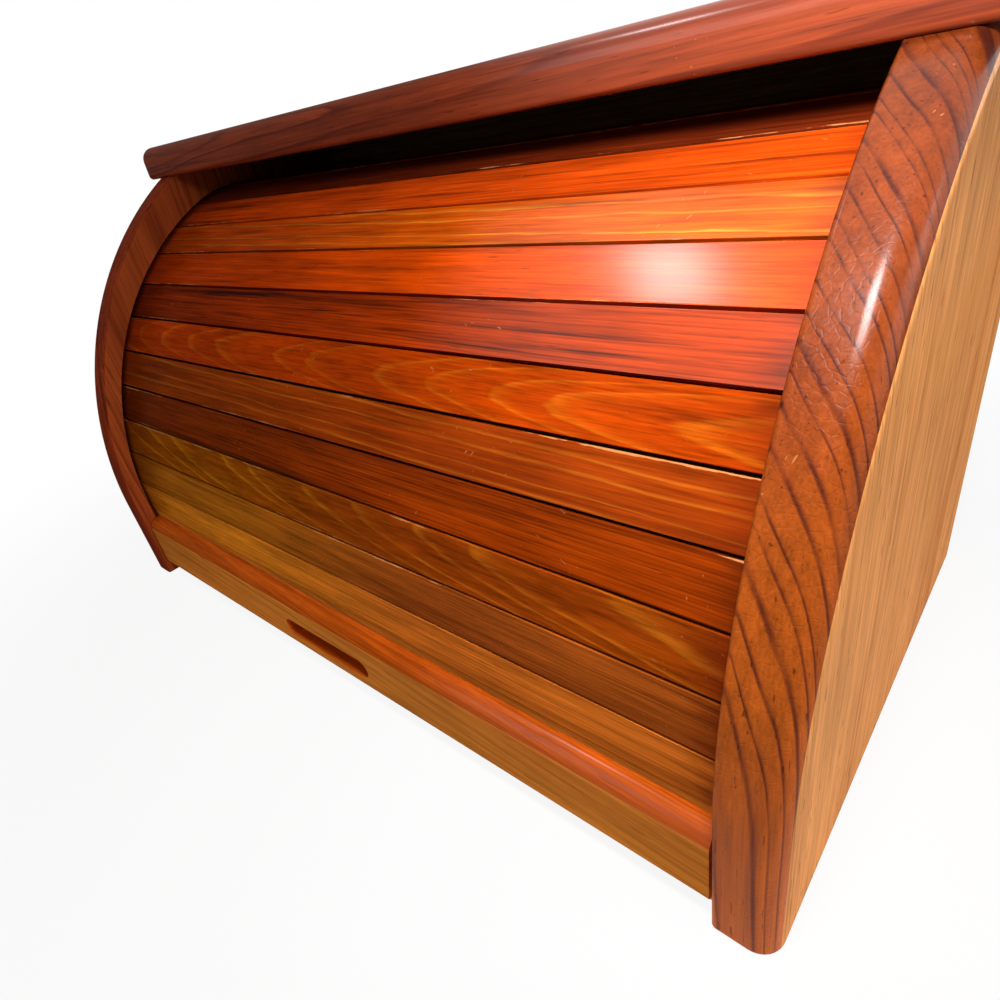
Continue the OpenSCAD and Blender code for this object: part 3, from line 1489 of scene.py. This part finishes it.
@dataclass
class LiftRail:
    """The rail at the foot of the curtain, with its finger slot.

    Attributes:
        reach: Half its length between the sides, in millimetres.
        front: The plane of its face, front to back.
        back: The plane of its rear.
        foot: Its lower edge.
        face_top: The top of the flat face.
        head: Its upper edge.
        slot: The length, height and depth of the finger slot.
        slot_at: The middle of the slot, across and up.
    """

    reach: float = 179.5
    front: float = -105.5
    back: float = -92.5
    foot: float = 8.3
    face_top: float = 32.0
    head: float = 42.8
    slot: Point = (62.5, 10.2, 6.0)
    slot_at: tuple[float, float] = (-6.8, 19.3)

    def build(self) -> None:
        """Builds and dresses the rail."""
        rail = self.shape()
        spot = Spot((0, -99, 24), slope=90)
        shoulder, face = (t.make(spot, (180, 17, 7), 2.6) for t in RAIL_TIMBER)
        dress(rail, shoulder, "rail", ["lift_rail"])
        second_finish(rail, face, lambda n: n.y < -0.97)

    def shape(self) -> Piece:
        """Shapes the rail from one blank: shoulder, lip, tongues and finger slot.

        Returns:
            The rail.
        """
        shoulder = 7.0
        rail = box(
            "rail",
            (-self.reach, self.front, self.foot),
            (self.reach, self.back, self.face_top + shoulder),
        )
        round_edges(
            rail,
            lambda p: abs(p.y - self.front) < 0.01 and p.z > self.face_top,
            shoulder,
            12,
            runs_across,
        )
        round_edges(
            rail,
            lambda p: abs(p.y - self.front) < 0.01 and p.z < self.foot + 0.01,
            1.5,
            4,
            runs_across,
        )
        lip = box(
            "lip",
            (-self.reach, self.front + shoulder + 0.8, self.face_top),
            (self.reach, self.back, self.head),
        )
        round_edges(
            lip,
            lambda p: p.y < self.back - 1 and p.z > self.head - 0.1,
            0.8,
            3,
            runs_across,
        )
        fuse(rail, lip)
        fuse(rail, box("tongue", (-187, -98, self.head - 9), (187, -93, self.head)))
        length, height, depth = self.slot
        x, z = self.slot_at
        hollow = box(
            "hollow",
            (x - length / 2, self.front - 3, z - height / 2),
            (x + length / 2, self.front + depth, z + height / 2),
        )
        round_edges(
            hollow, lambda p: True, height / 2 - 0.02, 12, lambda d: abs(d.y) > 0.9
        )
        cut(rail, hollow)
        return clean(rail)


@dataclass
class Curtain:
    """The slats and the canvas that joins them.

    Attributes:
        path: The run that the curtain follows.
        first: Where the lowest slat starts along the canvas line, in millimetres.
        pitch: The spacing of the slats.
        gap: The gap between slats.
        reach: Half the length of a slat.
        cloth_reach: Half the length of the canvas.
        cloth: The thickness of the canvas.
        count: The number of slats.
    """

    path: Path = field(default_factory=Path)
    first: float = -6.8
    pitch: float = 18.78
    gap: float = 0.38
    reach: float = 187.0
    cloth_reach: float = 176.0
    cloth: float = 0.7
    count: int = 14

    def spot(self, index: int) -> Spot:
        """Finds where a slat sits, on the canvas line.

        Args:
            index: The slat's number, from 0 for the lowest.

        Returns:
            Its spot.
        """
        a = self.path.belt(self.first + index * self.pitch)
        b = self.path.belt(self.first + (index + 1) * self.pitch)
        slope = math.degrees(math.atan2(b[1] - a[1], b[0] - a[0]))
        return Spot((0, (a[0] + b[0]) / 2, (a[1] + b[1]) / 2), slope)

    def build(self) -> None:
        """Builds and dresses each slat with its strip of canvas."""
        blank, strip = self.slat_blank(), self.strip_blank()
        for i in range(self.count):
            body = "rail" if i == 0 else f"link_{i + 1:02d}"
            spot = self.spot(i)
            slat = place(twin(blank, f"slat_{i + 1:02d}_worn"), spot)
            half = (self.reach, (self.pitch - self.gap) / 2, self.path.thick)
            stuff = SLAT_TIMBER[i].make(spot, half, 11.3 + 1.7 * i)
            dress(slat, stuff, body, [f"slat_{i + 1:02d}"])
            cloth = place(twin(strip, f"canvas_{i + 1:02d}_woven"), spot)
            stuff = Canvas().make(spot)
            dress(cloth, stuff, body, [f"canvas_{i + 1:02d}"])
        bpy.data.objects.remove(blank)
        bpy.data.objects.remove(strip)

    def slat_blank(self) -> Piece:
        """Shapes one slat about the origin, eased along its outer edges.

        Returns:
            The slat.
        """
        w, t = (self.pitch - self.gap) / 2, self.path.thick
        slat = box("slat_blank", (-self.reach, -w, 0), (self.reach, w, t))
        with editing(slat, "EDGE") as mesh:
            pick_edges(mesh, lambda p: True, runs_across)
            bpy.ops.mesh.subdivide(number_cuts=74)
        round_edges(
            slat,
            lambda p: p.z > t - 0.01 and abs(abs(p.y) - w) < 0.01,
            0.35,
            2,
            runs_across,
        )
        return clean(slat)

    def strip_blank(self) -> Piece:
        """Shapes one strip of canvas about the origin, behind a slat.

        Returns:
            The strip.
        """
        w = (self.pitch - self.gap) / 2
        deselect()
        bpy.ops.mesh.primitive_grid_add(
            x_subdivisions=88, y_subdivisions=5, size=1, location=(0, 0, -0.05 * MM)
        )
        strip = bpy.context.object
        strip.name = strip.data.name = "strip_blank"
        strip.scale = (2 * self.cloth_reach * MM, 2 * w * MM, 1)
        settled()
        bpy.ops.object.modifier_add(type="SOLIDIFY")
        step = strip.modifiers[-1]
        step.thickness = self.cloth * MM
        step.offset = -1
        bpy.ops.object.modifier_apply(modifier=step.name)
        return clean(strip)


# --- The timbers ---------------------------------------------------------------

# The right factors below paint shade (below 1) and light (above 1) toward each board's
# far end: the top of a side, the box's right on the rail, top and slats.
RIGHT_EDGE = Timber(
    "pine_side_right_edge", ground=(198, 96, 26), line=(80, 28, 22),
    shade=(134, 52, 24), spacing=3.3, pith=(50, -88.5), tilt=(0.3, 0.3), wander=2.0,
    ripple=0.12, depth=0.85, fine=1.6, band=0.3, dash=0.6, right=(0.24, 0.2, 0.32),
    coat=0.0, coat_right=0.9, shine=0.05, peel=3.0, craze=0.45, worn=0.5,
)
RIGHT_FACE = Timber(
    "pine_side_right_face", ground=(222, 150, 84), line=(188, 110, 54),
    shade=(188, 112, 58), spacing=2.6, pith=(50, -88.5), tilt=(0.3, 0.3), wander=2.0,
    depth=0.5, band=0.4, streak=0.4, dash=0.9, coat=0.1, coat_right=1.0, worn=0.5,
)
LEFT_EDGE = Timber(
    "pine_side_left_edge", ground=(160, 62, 30), line=(92, 30, 16),
    shade=(110, 38, 20), spacing=3.0, pith=(-50, -88.5), streak=0.4, worn=0.7,
)
LEFT_FACE = Timber(
    "pine_side_left_face", ground=(190, 88, 40), line=(130, 54, 26),
    shade=(130, 52, 26), spacing=2.6, pith=(-50, -88.5), streak=0.4, worn=0.5,
)
SIDE_TIMBER = {Hand.RIGHT: (RIGHT_EDGE, RIGHT_FACE), Hand.LEFT: (LEFT_EDGE, LEFT_FACE)}
TOP_TIMBER = Timber(
    "pine_top", ground=(150, 62, 30), line=(88, 28, 16), shade=(88, 32, 20),
    spacing=3.2, pith=(40, -60), tilt=(0.8, 0.9), wander=4.0, band=0.5, streak=0.7,
    right=(0.9, 0.9, 0.85), coat=0.1, coat_right=0.9, worn=0.7, bare=(190, 110, 80),
)
PLAIN_TIMBER = Timber(
    "pine_plain", ground=(206, 158, 98), line=(166, 110, 60), shade=(178, 128, 74),
    spacing=3.6, pith=(20, -46), tilt=(0.5, 0.4), wander=6.0, coat=0.03, gloss=0.4,
)
DOWEL_TIMBER = Timber(
    "pine_dowel", ground=(214, 172, 116), line=(182, 130, 78), spacing=1.6, coat=0.0
)
RAIL_SHOULDER = Timber(
    "pine_rail_shoulder", ground=(204, 92, 22), line=(150, 60, 14),
    shade=(150, 56, 14), spacing=1.7, pith=(26, -50), tilt=(0.8, 3.2), wander=1.6,
    ripple=0.25, depth=0.6, streak=0.5, right=(0.85, 0.8, 0.6), coat_right=0.45,
)
RAIL_FACE = replace(
    RAIL_SHOULDER, name="pine_rail_face", ground=(236, 142, 50), line=(196, 104, 30),
    shade=(196, 96, 30), streak=0.15, right=(0.74, 0.76, 0.8), coat=0.03,
    coat_right=None,
)
RAIL_TIMBER = (RAIL_SHOULDER, RAIL_FACE)


def slat_timber(number: int, ground: Colour, line: Colour, **facts: object) -> Timber:
    """Gives one slat its timber.

    Args:
        number: The slat's number, from 1 for the lowest.
        ground: The stain's colour.
        line: The colour of a ring's hard line.
        facts: What sets it apart from the values that all slats share.

    Returns:
        The timber.
    """
    shared = {
        "shade": (92, 28, 6),
        # Painted shade on the slat ends beside the sides.
        "end_shade": 0.7,
        "worn": 0.5,
        "fibre": 0.8,
        "wander": 1.6,
        "ripple": 0.25,
    }
    return Timber(f"pine_slat_{number:02d}", ground, line, **{**shared, **facts})


# The slats' right factors are painted light and shade toward the box's right, where the
# lamp near the camera falls off.
SLAT_TIMBER = [
    slat_timber(
        1, (246, 146, 33), (210, 110, 21), right=(0.72, 0.56, 1.0), spacing=1.4,
        depth=0.4, streak=0.15,
    ),
    slat_timber(
        2, (188, 108, 21), (151, 76, 12), right=(0.68, 0.48, 1.0), spacing=1.2,
        depth=0.45, streak=0.25,
    ),
    slat_timber(
        3, (154, 76, 6), (206, 134, 21), right=(0.8, 0.56, 1.0), spacing=2.4,
        pith=(10, -30), tilt=(3.5, 1.0), depth=0.6, fine=2.0, streak=0.2, worn=0.8,
    ),
    slat_timber(
        4, (127, 47, 4), (80, 24, 2), right=(1.25, 1.15, 1.0), spacing=1.2, streak=0.8,
        shade=(60, 20, 6), worn=0.8,
    ),
    slat_timber(
        5, (145, 56, 6), (194, 109, 22), right=(0.85, 0.76, 1.0), spacing=3.6,
        pith=(60, -60), wander=2.5, ripple=0.8, depth=0.6, fine=3.0, streak=0.3,
        worn=0.8,
    ),
    slat_timber(
        6, (189, 59, 2), (225, 110, 15), right=(0.62, 0.72, 1.0), spacing=1.5,
        pith=(0, -18), tilt=(2.6, 0.6), depth=0.45, fine=1.4, wander=1.0, streak=0.2,
    ),
    slat_timber(
        7, (150, 46, 4), (86, 22, 3), right=(0.95, 1.0, 1.0), coat_right=1.0,
        spacing=1.6, depth=0.5, streak=1.0, shade=(54, 16, 6),
    ),
    slat_timber(
        8, (186, 59, 2), (158, 45, 2), right=(1.1, 1.2, 1.0), coat_right=1.0,
        spacing=2.0, depth=0.4, streak=0.3,
    ),
    slat_timber(
        9, (188, 66, 5), (211, 123, 37), right=(1.0, 1.25, 1.0), coat_right=1.0,
        spacing=3.6, pith=(56, -62), wander=2.5, ripple=0.8, depth=0.6, fine=3.0,
        streak=0.3,
    ),
    slat_timber(
        10, (198, 66, 9), (138, 38, 7), right=(0.95, 0.98, 1.0), spacing=1.3, depth=0.4,
        streak=0.9, shade=(96, 30, 8),
    ),
    slat_timber(11, (104, 34, 10), (66, 20, 8), spacing=2.0),
    slat_timber(12, (150, 58, 14), (92, 32, 10), spacing=2.0),
    slat_timber(13, (184, 78, 20), (116, 42, 14), spacing=2.4),
    slat_timber(14, (178, 74, 18), (110, 38, 12), spacing=1.8),
]


# --- The studio -----------------------------------------------------------------


@dataclass
class Studio:
    """The pale floor, the plain light and the camera.

    Attributes:
        eye: Where the camera is, in metres.
        lens: Its focal length on a 36 mm frame.
        right: The camera's right, in the box's frame.
        up: Its up.
        ahead: The way it looks.
    """

    eye: Point = (0.2257, -0.2043, 0.2162)
    lens: float = 23.555
    right: Point = (0.75561, 0.63440, -0.16304)
    up: Point = (-0.22141, 0.48163, 0.84795)
    ahead: Point = (-0.61647, 0.60462, -0.50438)

    def build(self) -> None:
        """Sets up the camera, the floor, the world and the lamps."""
        self.camera()
        self.floor()
        self.world()
        self.lamp("lamp_near", (0.2, -0.14, 0.31), (0.16, -0.05, 0.14), 0.05, 0.52, 125)
        self.lamp("lamp_front", (-0.45, -1.0, 0.75), (0, 0, 0.1), 0.6, 2.0)
        self.lamp("lamp_window", (-0.36, -0.16, 1.146), (0.14, -0.04, 0.17), 0.12, 1.3)
        self.lamp("lamp_right", (1.1, 0.1, 0.3), (0.2, 0, 0.1), 0.7, 6.0)
        scene = bpy.context.scene
        scene.view_settings.view_transform = "Standard"

    def camera(self) -> None:
        """Places the camera where the photograph was taken from."""
        deselect()
        bpy.ops.object.camera_add()
        cam = bpy.context.object
        cam.name = "camera"
        turn = Matrix((self.right, self.up, [-a for a in self.ahead])).transposed()
        cam.matrix_world = Matrix.Translation(self.eye) @ turn.to_4x4()
        cam.data.lens = self.lens
        cam.data.sensor_width = 36.0
        cam.data.sensor_fit = "HORIZONTAL"
        cam.data.clip_start = 0.01
        bpy.context.scene.camera = cam

    def floor(self) -> None:
        """Lays the pale floor, which shows white to the camera but keeps the shadow."""
        deselect()
        bpy.ops.mesh.primitive_plane_add(size=12, location=(0, 0, 0))
        floor = bpy.context.object
        floor.name = "studio_floor"
        stuff = bpy.data.materials.new("studio_floor")
        stuff.use_nodes = True
        net = Net(stuff.node_tree)
        tree = stuff.node_tree
        tree.nodes.remove(tree.nodes["Principled BSDF"])
        matt = net.node("ShaderNodeBsdfDiffuse")
        net.give(matt, Color=(0.8, 0.8, 0.8, 1))
        glow = net.node("ShaderNodeEmission")
        net.give(glow, Color=(1, 1, 1, 1))
        seen = net.node("ShaderNodeLightPath")
        blend = net.node("ShaderNodeMixShader")
        away = net.node("ShaderNodeVectorMath", operation="LENGTH")
        net.fill(away, net.node("ShaderNodeTexCoord").outputs["Object"])
        glow_share = net.span(away.outputs["Value"], 0.2, 0.5, 0.9, 1.0)
        glowing = net.times(seen.outputs["Is Camera Ray"], glow_share)
        net.fill(blend, glowing, matt.outputs[0], glow.outputs[0])
        net.feed(tree.nodes["Material Output"].inputs["Surface"], blend.outputs[0])
        floor.data.materials.append(stuff)

    def world(self) -> None:
        """Makes the world a soft grey light that is seen, and mirrored, as white."""
        world = bpy.data.worlds.new("studio")
        bpy.context.scene.world = world
        world.use_nodes = True
        net = Net(world.node_tree)
        back = world.node_tree.nodes["Background"]
        back.inputs["Color"].default_value = (1, 1, 1, 1)
        path = net.node("ShaderNodeLightPath")
        mirrored = net.add(path.outputs["Is Camera Ray"], path.outputs["Is Glossy Ray"])
        seen = net.add(mirrored, path.outputs["Is Transmission Ray"], clamp=True)
        net.feed(back.inputs["Strength"], net.span(seen, 0, 1, 0.08, 1.0, smooth=False))

    def lamp(
        self,
        name: str,
        at: Point,
        to: Point,
        size: float,
        power: float,
        spread: float = 180,
    ) -> None:
        """Adds a soft square lamp aimed at a point.

        Args:
            name: Its name.
            at: Where it is, in metres.
            to: The point it is aimed at.
            size: The length of its side, in metres.
            power: Its power, in watts.
            spread: The angle of its cone, in degrees.
        """
        deselect()
        bpy.ops.object.light_add(type="AREA", location=at)
        lamp = bpy.context.object
        lamp.name = name
        lamp.data.size = size
        lamp.data.energy = power
        lamp.data.spread = math.radians(spread)
        aim = Vector(to) - Vector(at)
        lamp.rotation_euler = aim.to_track_quat("-Z", "Y").to_euler()
        lamp.visible_camera = False


def main() -> None:
    """Builds the dressed box and its studio, in order."""
    logging.basicConfig(level=logging.INFO, format="%(name)s: %(message)s")
    Studio().build()
    build_effects()
    Case().build()
    LiftRail().build()
    Curtain().build()


if __name__ == "__main__":
    main()
